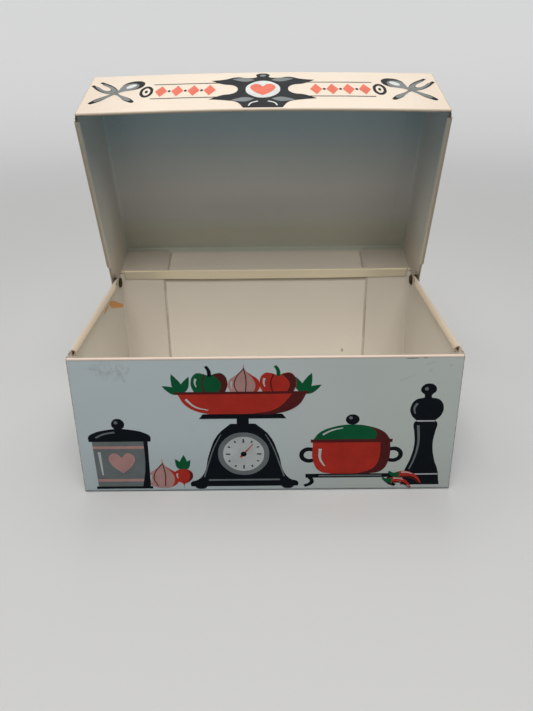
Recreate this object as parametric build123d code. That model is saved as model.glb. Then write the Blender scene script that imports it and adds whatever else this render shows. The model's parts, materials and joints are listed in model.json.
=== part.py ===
from build123d import *
from math import acos, atan, cos, degrees, radians, sin, sqrt, tan
import os

# Recipe card box of thin printed tinplate, for upright 3 x 5 inch cards.
#
# Frame: X to the right, Y to the back, Z up, in millimetres, with the origin in
# the middle of the base. The lid is open and rests on its stop. The pieces are
# drawn closed, with the front of the box at Y = 0, and placed at the end.
#
# The box and the lid are each three sheets: a shell, bent as one strip, and two
# sides whose flaps are lapped inside the shell and caught by its folded hems.

# ---------------------------------------------------------------- sheet metal
sheet = 0.4             # tinplate with its enamel
bend_inner = 0.8        # inside radius of the corner bends
lap_gap = 0.02          # air between lapped sheets
edge_inset = 0.3        # shell's raw side edges, inside the sides' outer faces
notch_slack = 0.1       # notch past the bends where three walls meet
fold_air = 0.1          # from a flap's edge to the crown of the hem over it
roll_stand_out = 0.85   # how far a rolled edge stands out past its side's face
roll_sweep = 300        # degrees that a rolled edge is curled through

# ---------------------------------------------------------------- box
body_width = 140.6
body_depth = 89.0
body_height = 58.0      # of the front wall and the sides
body_back_rise = 1.2    # how far the back wall stands above them
body_roll = 2.9         # outside diameter of the rolled top edges of the sides
body_ear_front = 7.0    # flat ear from the front face to the rolled edge
body_ear_rear = 9.5     # flat ear from the back face to the rolled edge
body_flap = 21.0        # side's flaps, across the front and the back wall
body_flange = 12.0      # side's flange, across the floor
body_roll_taper = 9.0   # length over which a rolled edge narrows to its rear end
body_hem = 4.4          # height of the folded hems of the front and back walls
body_hem_rise = 0.5     # how far the back hem's lower edge climbs to its ends
body_hem_level = 30.0   # where its climb starts, to each side of the middle

# ---------------------------------------------------------------- lid
lid_skirt = 38.0        # height of the lid's skirt, with the top panel
lid_overlap = 7.0       # how far the closed lid reaches down over the box
lid_bow = 1.3           # how far the front skirt bulges at its middle
lid_roll = 2.2          # outside diameter of the rolled rims of the sides
lid_ear_front = 3.4
lid_ear_rear = 17.0
lid_flap = 23.4
lid_flange = 7.6
lid_hem = 4.0
flap_round = 4.0        # rounded free corners of the lid's rear flaps
rim_round = 3.0         # rounded lower rear corner of the lid's sides
side_slip = 0.15        # rolled rim to the rolled edge of the box
front_slip = 0.4        # folded hem to the front of the box
rear_slip = 0.3         # rear flaps to the back of the box
open_angle = 71.5       # degrees from closed to open

# ---------------------------------------------------------------- pivots
pivot_inset = 4.2       # pivot axis in front of the back face
pivot_drop = 3.6        # pivot axis below the top of the box
shank_diameter = 2.6
shank_fit = 0.03        # shank in the box side, per side
pivot_fit = 0.06        # shank in the lid side, per side
head_diameter = 4.8
head_height = 1.0
clench_height = 0.8     # rolled-over inner end of the rivet
tube_diameter = 1.4     # hollow of the rivet's inner end
tube_depth = 1.6
washer_diameter = 5.0
end_play = 0.1          # lid side between washer and rivet head, each face
stop_gap = 0.15         # open lid's rear rim to the back wall
past = 1.0              # how far a cutter reaches past what it trims

# ---------------------------------------------------------------- worked out
bend_outer = bend_inner + sheet
bend_notch = bend_outer + notch_slack
lap = sheet + lap_gap                   # from one outer face to the next sheet's
fold_width = 2 * lap + sheet            # a hem folded over one flap
fold_outer = fold_width / 2
fold_inner = fold_outer - sheet
fold_clear = fold_outer + fold_air      # flaps end this far from a folded edge
half_body = body_width / 2
lid_reach = lid_roll + side_slip        # from the box's side face to the lid's
half_lid = half_body + lid_reach
skirt_flat = lid_flap + bend_outer      # straight ends of the lid's bowed front
skirt_curve = half_lid - skirt_flat     # half of the curve between them
splay = atan(lid_bow / (skirt_flat + skirt_curve / 2))
side_gap = lid_reach - sheet            # between the two side walls at a pivot
lid_front = -(fold_width + front_slip)
lid_rear = body_depth + rear_slip + sheet + lap
lid_rim = body_height - lid_overlap
lid_top = lid_rim + lid_skirt
pivot_y = body_depth - pivot_inset
pivot_z = body_height - pivot_drop
opened = radians(open_angle)
stop_rise = pivot_inset + stop_gap - (pivot_inset + rear_slip) * cos(opened)
rear_rim = pivot_z + stop_rise / sin(opened)


def bent_sheet(start, heading, runs):
    """Section of a bent sheet, as a face in the XY plane.

    The path follows the sheet's outer face with the sheet on its left. Each run
    is a straight length, then a left turn in degrees about an inside radius.
    """
    outer, inner = [], []
    at = Vector(*start)
    for length, turn, radius in runs:
        along = Vector(1, 0).rotate(Axis.Z, heading)
        across = Vector(0, sheet).rotate(Axis.Z, heading)
        if length:
            outer.append(Line(at, at + along * length))
            inner.append(Line(at + across, at + across + along * length))
            at = at + along * length
        if turn:
            outer.append(JernArc(at, along, radius + sheet, turn))
            inner.append(JernArc(at + across, along, radius, turn))
            at = outer[-1] @ 1
            heading += turn
    ends = [Line(outer[0] @ 0, inner[0] @ 0), Line(outer[-1] @ 1, inner[-1] @ 1)]
    return make_face(outer + inner + ends)


def block(x, y, z):
    """Box between pairs of limits."""
    size = [limits[1] - limits[0] for limits in (x, y, z)]
    middle = [(limits[1] + limits[0]) / 2 for limits in (x, y, z)]
    return Pos(*middle) * Box(*size)


def along_x(face, half_width):
    """Extrude a section drawn in Y and Z to both sides of the middle."""
    return extrude(Plane.YZ * face, amount=half_width, both=True)


def along_y(face, y_start, y_end):
    """Extrude a section drawn in X and Z from one depth to another."""
    standing = Plane((0, y_end, 0), x_dir=(1, 0, 0), z_dir=(0, -1, 0))
    return extrude(standing * face, amount=y_end - y_start)


def along_z(face, z_start, z_end):
    """Extrude a section drawn in X and Y from one height to another."""
    return extrude(Plane.XY.offset(z_start) * face, amount=z_end - z_start)


def mirrored(solid):
    """The same piece for the other side of the box."""
    return mirror(solid, about=Plane.YZ)


def pivot_hole(fit):
    """Cutter for the pivot's hole in a right-hand side wall."""
    hole = Cylinder(shank_diameter / 2 + fit, 4 * lid_reach, rotation=(0, 90, 0))
    return Pos(half_body, pivot_y, pivot_z) * hole


def both_ends(y, *outline):
    """Cutter between two depths for an outline at the right, and for its mirror image."""
    right = along_y(make_face(Polyline(*outline, close=True)), *y)
    return right + mirrored(right)


def hem_ends(half_width, y, z_top, z_foot):
    """Cutters that trim a hem's turned-in leaf short of the corners, at a slant."""
    x_end = half_width - bend_outer - sheet
    x_foot = x_end - (z_top - z_foot) / 4
    return both_ends(y, (x_end, z_top), (x_foot, z_foot), (half_width, z_foot),
                     (half_width, z_top))


def side_walls(half_width, front, rear, flap, lean=0):
    """Plan section of a right-hand side with a flap at each end.

    The front flap leans out from its corner by a number of degrees.
    """
    start = Vector(half_width, front) - Vector(flap, 0).rotate(Axis.Z, lean)
    corner = bend_outer * tan(radians(90 - lean) / 2)
    return bent_sheet((start.X, start.Y), lean, [
        (flap - corner, 90 - lean, bend_inner),
        (rear - front - corner - bend_outer, 90, bend_inner),
        (flap - bend_outer, 0, 0),
    ])


def roll_depth(roll):
    """Depth below a rolled edge at which its wall runs into the curled sheet."""
    middle = (roll - sheet) / 2
    return roll / 2 + sqrt(middle ** 2 - (middle - roll_stand_out) ** 2)


def rolled_edge(roll, half_width, z_end, direction):
    """Section of a right-hand side's edge, curled out and over to the inside."""
    radius = roll / 2
    from_wall = -degrees(acos(1 - roll_stand_out / radius))
    start = Vector(radius, 0).rotate(Axis.Z, from_wall)
    curl = bent_sheet((start.X, start.Y), 90 + from_wall, [(0, roll_sweep, radius - sheet)])
    if direction < 0:
        curl = mirror(curl, about=Plane.XZ)
    return Pos(half_width + roll_stand_out - radius, z_end - direction * radius) * curl


# ---------------------------------------------------------------- box sheets
def make_body_shell():
    """Front wall, floor and back wall in one strip, its hems folded inward."""
    crown = body_height - fold_outer
    wall = crown - bend_outer
    leaf = body_hem - fold_outer
    section = bent_sheet((fold_width, body_height - body_hem), 90, [
        (leaf, 180, fold_inner),
        (wall, 90, bend_inner),
        (body_depth - 2 * bend_outer, 90, bend_inner),
        (wall + body_back_rise, 180, fold_inner),
        (leaf, 0, 0),
    ])
    shell = along_x(section, half_body - edge_inset)
    front_foot = body_height - body_hem - sheet
    foot = front_foot + body_back_rise
    front_leaf = (lap, fold_width + sheet)
    back_leaf = (body_depth - fold_width - sheet, body_depth - lap)
    shell -= hem_ends(half_body, front_leaf, crown, front_foot)
    shell -= hem_ends(half_body, back_leaf, foot + body_hem + 2 * sheet, foot)
    edge = foot + sheet
    return shell - both_ends(back_leaf, (body_hem_level, edge), (body_hem_level, foot),
                             (half_body, foot), (half_body, edge + body_hem_rise))


def make_body_side():
    """Right-hand wall with flaps and a flange, its top edge rolled between two ears."""
    wall_end = body_height - roll_depth(body_roll)
    rolled = (body_ear_front, body_depth - body_ear_rear)
    plan = side_walls(half_body, lap, body_depth - lap, body_flap)
    flange = bent_sheet((half_body - body_flange, lap), 0, [
        (body_flange - bend_outer, 90, bend_inner),
        (wall_end - lap - bend_outer, 0, 0),
    ])
    notch = lap + bend_notch
    side = along_z(plan, notch, body_height)
    side += along_y(flange, notch, body_depth - notch)
    side -= block((half_body - bend_outer, half_lid), rolled, (wall_end, body_height + past))
    side += along_y(rolled_edge(body_roll, half_body, body_height, 1), *rolled)
    # The rolled edge narrows from the inside towards its rear end.
    x_roll = half_body + roll_stand_out - body_roll
    y_taper = rolled[1] - body_roll_taper
    outline = Polyline((x_roll - past, y_taper), (x_roll, y_taper),
                       (half_body - sheet, rolled[1]), (x_roll - past, rolled[1]),
                       close=True)
    side -= along_z(make_face(outline), body_height - body_roll - past, body_height + past)
    # The front flap and its bend end under the front hem.
    side -= block((0, half_lid), (0, lap + bend_outer),
                  (body_height - fold_clear, body_height + past))
    # The rear flap slopes down from the corner to go under the back hem.
    x_peak = half_body - bend_outer
    slope = body_hem / 2
    outline = Polyline((x_peak, body_height), (x_peak - slope, body_height - slope),
                       (0, body_height - slope), (0, body_height), close=True)
    side -= along_y(make_face(outline), body_depth - lap - bend_outer, body_depth)
    return side - pivot_hole(shank_fit)


# ---------------------------------------------------------------- lid sheets
def skirt_line():
    """Plan line of the lid's bowed front, from its middle to past the right corner."""
    middle = lid_front - skirt_flat * tan(splay) - skirt_curve * tan(splay / 2)
    curve = JernArc((0, middle), (1, 0), skirt_curve / sin(splay), degrees(splay))
    end = Vector(skirt_flat + body_depth * sin(splay), 0).rotate(Axis.Z, degrees(splay))
    return Wire([curve, Line(curve @ 1, curve @ 1 + end)])


def make_lid_shell():
    """Rear skirt, top panel and bowed front skirt in one strip, with a front hem."""
    half_width = half_lid - edge_inset
    # The top panel's front half follows the bow, and laps over its rear half.
    rear_start = body_depth / 2
    front_end = rear_start + 2 * lid_bow
    rear = bent_sheet((lid_rear, rear_rim), 90, [
        (lid_top - rear_rim - bend_outer, 90, bend_inner),
        (lid_rear - rear_start - bend_outer, 0, 0),
    ])
    line = skirt_line()
    front = bent_sheet((front_end, lid_top), 180, [
        (front_end - (line @ 0).Y - bend_outer, 90, bend_inner),
        (lid_skirt - bend_outer - fold_outer, 180, fold_inner),
        (lid_hem - fold_outer, 0, 0),
    ])
    right = sweep(Plane.YZ * front, line)
    shell = along_x(rear, half_width) + right + mirrored(right)
    shell &= block((-half_width, half_width), (lid_front - lid_bow - past, lid_rear),
                   (0, lid_top))
    leaf = (lid_front + lap, lid_front + fold_width + sheet)
    return shell - hem_ends(half_lid, leaf, lid_rim + lid_hem + sheet, lid_rim + fold_outer)


def make_lid_side():
    """Right-hand skirt with flaps and a flange, its rim rolled between two ears."""
    wall_end = lid_rim + roll_depth(lid_roll)
    front = lid_front + lap / cos(splay)
    rear = lid_rear - lap
    ceiling = lid_top - lap
    rolled = (lid_front + lid_ear_front, lid_rear - lid_ear_rear)
    plan = side_walls(half_lid, front, rear, lid_flap, degrees(splay))
    flange = bent_sheet((half_lid, wall_end), 90, [
        (ceiling - wall_end - bend_outer, 90, bend_inner),
        (lid_flange - bend_outer, 0, 0),
    ])
    side = along_z(plan, lid_rim, ceiling - bend_notch)
    corner = side.edges().filter_by(Axis.Y).group_by(Axis.Z)[-1].group_by(Axis.X)[0]
    side = fillet(corner.sort_by(Axis.Y)[-1], flap_round)
    side += along_y(flange, front + bend_notch, rear - bend_notch)
    side -= block((half_lid - bend_outer, half_lid + past), rolled, (0, wall_end))
    side += along_y(rolled_edge(lid_roll, half_lid, lid_rim, -1), *rolled)
    # The front flap ends above the front hem, the rear flap at the rear rim.
    side -= block((0, half_lid + past), (lid_front - lid_bow, front + bend_outer),
                  (0, lid_rim + fold_clear))
    side -= block((0, half_lid + past), (rear - bend_outer, lid_rear), (0, rear_rim))
    heel = side.edges().filter_by(Axis.X).group_by(Axis.Z)[0].group_by(Axis.Y)[-1]
    side = fillet(heel, rim_round)
    return side - pivot_hole(pivot_fit)


# ---------------------------------------------------------------- pivots
def make_pivot_rivet():
    """Right-hand rivet: domed head outside the lid, rolled tube end in the box."""
    x_clench = half_body - sheet
    x_end = x_clench - clench_height
    x_head = half_lid + end_play
    shank = shank_diameter / 2
    head = head_diameter / 2
    tube = tube_diameter / 2
    dome = (head ** 2 + head_height ** 2) / (2 * head_height)
    half_section = [
        RadiusArc((0, x_head + head_height), (head, x_head), dome),
        Polyline((head, x_head), (shank, x_head), (shank, x_clench), (head, x_clench)),
        RadiusArc((head, x_clench), (head - clench_height, x_end), clench_height),
        Polyline((head - clench_height, x_end), (tube, x_end),
                 (tube, x_end + tube_depth), (0, x_end + tube_depth),
                 (0, x_head + head_height)),
    ]
    rivet = revolve(make_face(half_section), Axis.Y)
    return Pos(0, pivot_y, pivot_z) * (Rot(0, 0, -90) * rivet)


def make_pivot_washer():
    """Right-hand spacer that holds the lid's side clear of the box."""
    thickness = side_gap - end_play
    ring = Cylinder(washer_diameter / 2, thickness, rotation=(0, 90, 0))
    ring -= Cylinder(shank_diameter / 2 + shank_fit, 2 * thickness, rotation=(0, 90, 0))
    return Pos(half_body + thickness / 2, pivot_y, pivot_z) * ring


# ---------------------------------------------------------------- assembly
def place(solid, on_lid):
    """Open the lid's pieces about the pivot, then centre the box on the origin."""
    if on_lid:
        pivot = Axis((0, pivot_y, pivot_z), (1, 0, 0))
        solid = solid.rotate(pivot, -open_angle)
    return Pos(0, -body_depth / 2, 0) * solid


def save(name, solid):
    """Write one named piece to its own STEP file."""
    solid.label = name
    export_step(solid, f"parts/{name}.step")


os.makedirs("parts", exist_ok=True)
save("body_shell", place(make_body_shell(), False))
save("lid_shell", place(make_lid_shell(), True))
right_hand = [
    ("body_side", make_body_side(), False),
    ("lid_side", make_lid_side(), True),
    ("pivot_rivet", make_pivot_rivet(), False),
    ("pivot_washer", make_pivot_washer(), False),
]
for name, solid, on_lid in right_hand:
    save(f"{name}_right", place(solid, on_lid))
    save(f"{name}_left", place(mirrored(solid), on_lid))
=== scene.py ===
import json
from math import cos, hypot, pi, radians, sin

import bpy
from mathutils import Matrix, Vector


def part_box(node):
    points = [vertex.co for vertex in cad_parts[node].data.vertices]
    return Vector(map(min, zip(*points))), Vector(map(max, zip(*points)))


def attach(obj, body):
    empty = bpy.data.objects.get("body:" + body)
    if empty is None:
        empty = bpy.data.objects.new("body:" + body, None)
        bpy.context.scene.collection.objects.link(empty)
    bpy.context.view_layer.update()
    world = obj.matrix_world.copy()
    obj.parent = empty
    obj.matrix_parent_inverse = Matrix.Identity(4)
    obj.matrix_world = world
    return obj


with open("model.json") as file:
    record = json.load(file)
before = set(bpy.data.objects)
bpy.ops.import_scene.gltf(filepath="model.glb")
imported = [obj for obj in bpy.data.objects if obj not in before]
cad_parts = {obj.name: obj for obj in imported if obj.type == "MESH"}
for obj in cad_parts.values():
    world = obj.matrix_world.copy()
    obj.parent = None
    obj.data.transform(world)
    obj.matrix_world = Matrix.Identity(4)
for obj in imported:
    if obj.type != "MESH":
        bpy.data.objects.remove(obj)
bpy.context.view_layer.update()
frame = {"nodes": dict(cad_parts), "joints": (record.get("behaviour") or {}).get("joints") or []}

# The recipe box's enamel, rust and printed decoration, and the studio around it.
# Lengths are in metres. Printed shapes are drawn in millimetres across and up.

mm = 0.001

# ---------------------------------------------------------------- picture
picture_height = 711            # pixels in the picture, which is 533 wide
focal_pixels = 615.75
horizon_centre = 300.2          # row of the picture that lies straight ahead
camera_place = (1.59 * mm, -236.16 * mm, 158.66 * mm)
camera_down = 22.43             # degrees below level
camera_turn = 0.25              # degrees to the left
camera_tilt = -0.68             # degrees about the line of sight

# ---------------------------------------------------------------- box and lid
sheet = 0.4 * mm
shell_low, shell_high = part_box("body_shell")
wall_low, wall_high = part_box("body_side_right")
box_height = wall_high.z        # top of the sides
back_height = shell_high.z      # top of the back wall
box_front = shell_low.y
box_back = shell_high.y
shell_edge = shell_high.x       # raw side edges of the front, the floor and the back
box_side = shell_edge + 0.3 * mm        # outer face of the box's sides, from the middle
flap_edge = wall_low.x          # free edge of the side's flaps
front_hem = 1.4 * mm            # depth that takes in the front wall's folded hem
roll_front = box_front + 7.0 * mm       # ends of the sides' rolled edges
roll_rear = box_back - 9.5 * mm
roll_low = box_height - 2.95 * mm       # just under the rolled edges
hem_leaf = box_back - 0.9 * mm  # the back hem's turned-in leaf lies in front of this
hem_foot = back_height - 4.4 * mm       # lower edge of that leaf, at its middle
hem_level = 30.0 * mm           # where that edge starts to climb
hem_climb = 0.0124              # its climb for each length across
hem_end = 68.6 * mm             # end of the hem at its top, from the middle
hem_lean = 0.25                 # how far that end slants inward for each length down

# The lid's places are those of the closed lid.
hinge_place = Vector(frame["joints"][0]["pos_m"])
lid_open = 71.5                 # degrees from closed to open
lid_side = box_side + 2.35 * mm         # outer face of the lid's sides
lid_front = box_front - 1.64 * mm
lid_rear = box_back + 1.12 * mm
lid_rim = box_height - 7.0 * mm
lid_top = lid_rim + 38.0 * mm
lid_bow = 1.3 * mm              # bulge of the lid's front at its middle
lid_flap_edge = lid_side - 23.4 * mm


# ---------------------------------------------------------------- finishes
class Finish:
    """A material being mixed. Each method adds a node and gives back what it puts out."""

    def __init__(self, name, roughness, specular=0.5, metallic=0.0):
        self.material = bpy.data.materials.new(name)
        self.material.use_nodes = True
        self.nodes = self.material.node_tree.nodes
        self.links = self.material.node_tree.links
        self.shader = self.nodes["Principled BSDF"]
        self.shader.inputs["Roughness"].default_value = roughness
        self.shader.inputs["Specular IOR Level"].default_value = specular
        self.shader.inputs["Metallic"].default_value = metallic
        self.place = self.nodes.new("ShaderNodeTexCoord").outputs["Object"]

    def feed(self, socket, value):
        """Set a socket to a number, a colour or what another node puts out."""
        if isinstance(value, bpy.types.NodeSocket):
            self.links.new(value, socket)
        elif isinstance(value, tuple) and len(value) == 3 and socket.type == "RGBA":
            socket.default_value = (*value, 1)
        else:
            socket.default_value = value

    def math(self, operation, first, second=0.0, third=0.0):
        node = self.nodes.new("ShaderNodeMath")
        node.operation = operation
        for socket, value in zip(node.inputs, (first, second, third)):
            self.feed(socket, value)
        return node.outputs[0]

    def axes(self, place=None):
        """The three coordinates of a place."""
        node = self.nodes.new("ShaderNodeSeparateXYZ")
        self.feed(node.inputs[0], place or self.place)
        return node.outputs[0], node.outputs[1], node.outputs[2]

    def turned_shut(self):
        """Object coordinates with the lid turned back to closed."""
        node = self.nodes.new("ShaderNodeMapping")
        turn = Matrix.Rotation(radians(lid_open), 3, "X")
        self.feed(node.inputs["Vector"], self.place)
        node.inputs["Rotation"].default_value = (radians(lid_open), 0, 0)
        node.inputs["Location"].default_value = hinge_place - turn @ hinge_place
        return node.outputs[0]

    def rise(self, value, start, end, low=0.0, high=1.0):
        """A smooth step from low to high while a value goes from start to end."""
        node = self.nodes.new("ShaderNodeMapRange")
        node.interpolation_type = "SMOOTHSTEP"
        for socket, number in zip(node.inputs[:5], (value, start, end, low, high)):
            self.feed(socket, number)
        return node.outputs[0]

    def band(self, value, start, end, soft):
        """1 between two limits and 0 outside them, with soft edges."""
        inside = self.rise(value, start - soft, start)
        return self.math("MULTIPLY", inside, self.rise(value, end, end + soft, 1.0, 0.0))

    def both(self, *shares):
        """Where all the shares are 1."""
        result = shares[0]
        for share in shares[1:]:
            result = self.math("MULTIPLY", result, share)
        return result

    def either(self, *shares):
        """Where any of the shares is 1."""
        result = shares[0]
        for share in shares[1:]:
            result = self.math("MAXIMUM", result, share)
        return result

    def noise(self, size, detail=2.0, place=None, roughness=0.5):
        """Cloudy noise from 0 to 1 whose blotches are about a size across."""
        node = self.nodes.new("ShaderNodeTexNoise")
        self.feed(node.inputs["Vector"], place or self.place)
        node.inputs["Scale"].default_value = 1 / size
        node.inputs["Detail"].default_value = detail
        node.inputs["Roughness"].default_value = roughness
        return node.outputs["Fac"]

    def stretched(self, x, y, z, place=None):
        """Coordinates scaled along each axis, for brushed or streaky patterns."""
        node = self.nodes.new("ShaderNodeMapping")
        self.feed(node.inputs["Vector"], place or self.place)
        node.inputs["Scale"].default_value = (x, y, z)
        return node.outputs[0]

    def spot(self, across, up, centre, half_size, ragged=0.0, grain=1.5 * mm, turn=0.0):
        """A blotch around a point of two coordinates, 1 inside and 0 outside."""
        x = self.math("SUBTRACT", across, centre[0])
        y = self.math("SUBTRACT", up, centre[1])
        if turn:
            c, s = cos(radians(turn)), sin(radians(turn))
            x, y = (self.math("MULTIPLY_ADD", x, c, self.math("MULTIPLY", y, s)),
                    self.math("MULTIPLY_ADD", y, c, self.math("MULTIPLY", x, -s)))
        x = self.math("DIVIDE", x, half_size[0])
        y = self.math("DIVIDE", y, half_size[1])
        far = self.math("SQRT", self.math("MULTIPLY_ADD", x, x, self.math("MULTIPLY", y, y)))
        if ragged:
            wobble = self.math("SUBTRACT", self.noise(grain, 3.0), 0.5)
            far = self.math("MULTIPLY_ADD", wobble, ragged, far)
        return self.rise(far, 0.75, 1.1, 1.0, 0.0)

    def blend(self, share, ground, over):
        """One colour over another, by a share from 0 to 1."""
        node = self.nodes.new("ShaderNodeMix")
        node.data_type = "RGBA"
        self.feed(node.inputs["Factor"], share)
        self.feed(node.inputs[6], ground)
        self.feed(node.inputs[7], over)
        return node.outputs[2]

    def shade(self, colour, amount):
        """A colour multiplied by a grey amount."""
        node = self.nodes.new("ShaderNodeVectorMath")
        node.operation = "SCALE"
        self.feed(node.inputs[0], colour)
        self.feed(node.inputs["Scale"], amount)
        return node.outputs[0]

    def bump(self, height, depth):
        """Relief: a height from 0 to 1 over a depth in metres."""
        node = self.nodes.new("ShaderNodeBump")
        node.inputs["Distance"].default_value = depth
        self.feed(node.inputs["Height"], height)
        self.links.new(node.outputs[0], self.shader.inputs["Normal"])

    def colour(self, value):
        self.feed(self.shader.inputs["Base Color"], value)

    def rough(self, value):
        self.feed(self.shader.inputs["Roughness"], value)


# One white enamel in two painted tints: cool, as painted cool fill light on the box, and warm, as
# painted warm overhead light on the lid.
fill_lit_white = (0.80, 0.86, 0.86)
# painted cool light on the front: bluer at the left, greener at the right
fill_lit_left = (0.80, 0.90, 0.92)
fill_lit_right = (0.80, 0.86, 0.81)
key_lit_white = (0.90, 0.775, 0.64)
cream = (0.90, 0.85, 0.77)
crest_highlight = (0.95, 0.76, 0.64)
shoulder_shade = (0.70, 0.72, 0.68)
yellowed = (0.93, 0.84, 0.63)
hem_crest = (0.90, 0.78, 0.55)
# the rolled edges' tan, darkened as painted shade
shaded_biscuit = (0.735, 0.61, 0.465)
# painted highlight along the rolls' crest
roll_highlight = (0.97, 0.80, 0.61)
# Lid linings, painted with the light and shade inside the open lid:
lining_front_shade = (0.44, 0.60, 0.68)
middle_lining = (0.90, 0.92, 0.91)
rear_lining = (0.76, 0.765, 0.65)
skirt_lining = (0.90, 0.80, 0.685)
side_lining = (0.86, 0.85, 0.80)
side_front_shade = (0.56, 0.63, 0.66)
rim_tan_shade = (0.68, 0.60, 0.44)
rim_brown = (0.74, 0.56, 0.40)
fold_shade_tan = (0.75, 0.62, 0.48)
tarnish = (0.36, 0.26, 0.18)
scratch_grey = (0.20, 0.23, 0.24)
smudge_grey = (0.42, 0.43, 0.40)
# bare steel; also the colour of painted shade in the lid's front corners
bare_steel_and_shade = (0.10, 0.055, 0.03)
rust = (0.23, 0.10, 0.04)
dark_rust = (0.035, 0.018, 0.012)
pivot_black = (0.045, 0.030, 0.009)
old_tape = (0.90, 0.345, 0.025)
# dirt; also the colour of painted shade and shadow
grime_and_shade = (0.30, 0.24, 0.17)

# How far across the enamel's uneven places are.
mottle_size = 35 * mm           # darker and lighter tone
speck_size = 2.2 * mm           # specks of dirt
chip_size = 1.8 * mm            # chips along the bare edges
dent_size = 28 * mm             # shallow dents in the sheet
peel_size = 0.7 * mm            # orange peel in the enamel and the ink

# Marks that stand alone. Each has its middle and then its half size, across the
# wall and up it. The torn tape is on the inside of the left side.
smudge = ((-55.5 * mm, 53.5 * mm), (7.5 * mm, 4.5 * mm))
rust_spot = ((38.5 * mm, 15.1 * mm), (0.7 * mm, 1.1 * mm))
box_pivot_grime = ((hinge_place.y, hinge_place.z), (3.0 * mm, 3.4 * mm))
lid_pivot_grime = ((hinge_place.y, hinge_place.z), (4.5 * mm, 4.0 * mm))
tape_pieces = [((26.0 * mm, 49.0 * mm), (10.0 * mm, 1.8 * mm)),
               ((34.5 * mm, 45.1 * mm), (9.0 * mm, 1.2 * mm))]
tape_tail = ((12.5 * mm, 52.4 * mm), (5.0 * mm, 0.8 * mm))
tape_slope = -24.5              # degrees


def wear_and_shade(finish, colour, edge, stains_and_shade):
    """Enamel's wear: mottled tone, stains and painted shade laid on in turn, then its bare edges.
    """
    mottle = finish.noise(mottle_size, 3.0)
    colour = finish.shade(colour, finish.math("MULTIPLY_ADD", mottle, 0.08, 0.95))
    specks = finish.rise(finish.noise(speck_size, 2.0, roughness=0.6), 0.77, 0.81)
    colour = finish.blend(finish.math("MULTIPLY", specks, 0.3), colour, grime_and_shade)
    for share, overlay in stains_and_shade:
        colour = finish.blend(share, colour, overlay)
    chips = finish.rise(finish.noise(chip_size, 3.0), 0.40, 0.58)
    bare = finish.math("MULTIPLY", edge, finish.math("MULTIPLY_ADD", chips, 0.45, 0.55))
    colour = finish.blend(bare, colour, tarnish)
    finish.colour(colour)
    gloss = finish.math("MULTIPLY_ADD", mottle, 0.14, 0.24)
    finish.rough(finish.math("MULTIPLY_ADD", bare, 0.35, gloss))
    dents = finish.noise(dent_size, 1.0)
    peel = finish.noise(peel_size, 1.0)
    finish.bump(finish.math("MULTIPLY_ADD", peel, 0.02, dents), 0.35 * mm)
    return finish.material


def above_hem_edge(finish, aside, z):
    """Height above the lower edge of the back hem."""
    past_level = finish.math("MAXIMUM", finish.math("SUBTRACT", aside, hem_level), 0.0)
    edge = finish.math("MULTIPLY_ADD", past_level, hem_climb, hem_foot)
    return finish.math("SUBTRACT", z, edge)


# Marks on the front of the box: middle across and up and half size in
# millimetres, then the turn in degrees.
scratches = [
    ((50.5, 49.0), (3.2, 0.25), 25), ((58.1, 54.9), (2.3, 0.25), 20),
    ((-58.0, 52.6), (3.0, 0.6), -37), ((-60.6, 53.9), (2.2, 0.7), -15),
    ((-55.6, 52.4), (2.4, 0.5), 8), ((-52.3, 53.2), (0.7, 2.2), 8),
    ((-50.7, 50.4), (2.6, 0.5), -72), ((-48.8, 53.0), (0.6, 1.9), -20),
    ((58.7, 52.1), (0.6, 0.6), 0), ((65.7, 54.1), (0.8, 0.5), 0),
]
scuffs = [((51.8, 57.0), (2.4, 0.16), 0), ((56.3, 57.1), (0.8, 0.14), 0)]


def marks(finish, across, up, places, ragged):
    """All of a list of marks at once."""
    return finish.either(*[
        finish.spot(across, up, (place[0] * mm, place[1] * mm), (size[0] * mm, size[1] * mm),
                    ragged, 1.2 * mm, turn)
        for place, size, turn in places])


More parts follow.
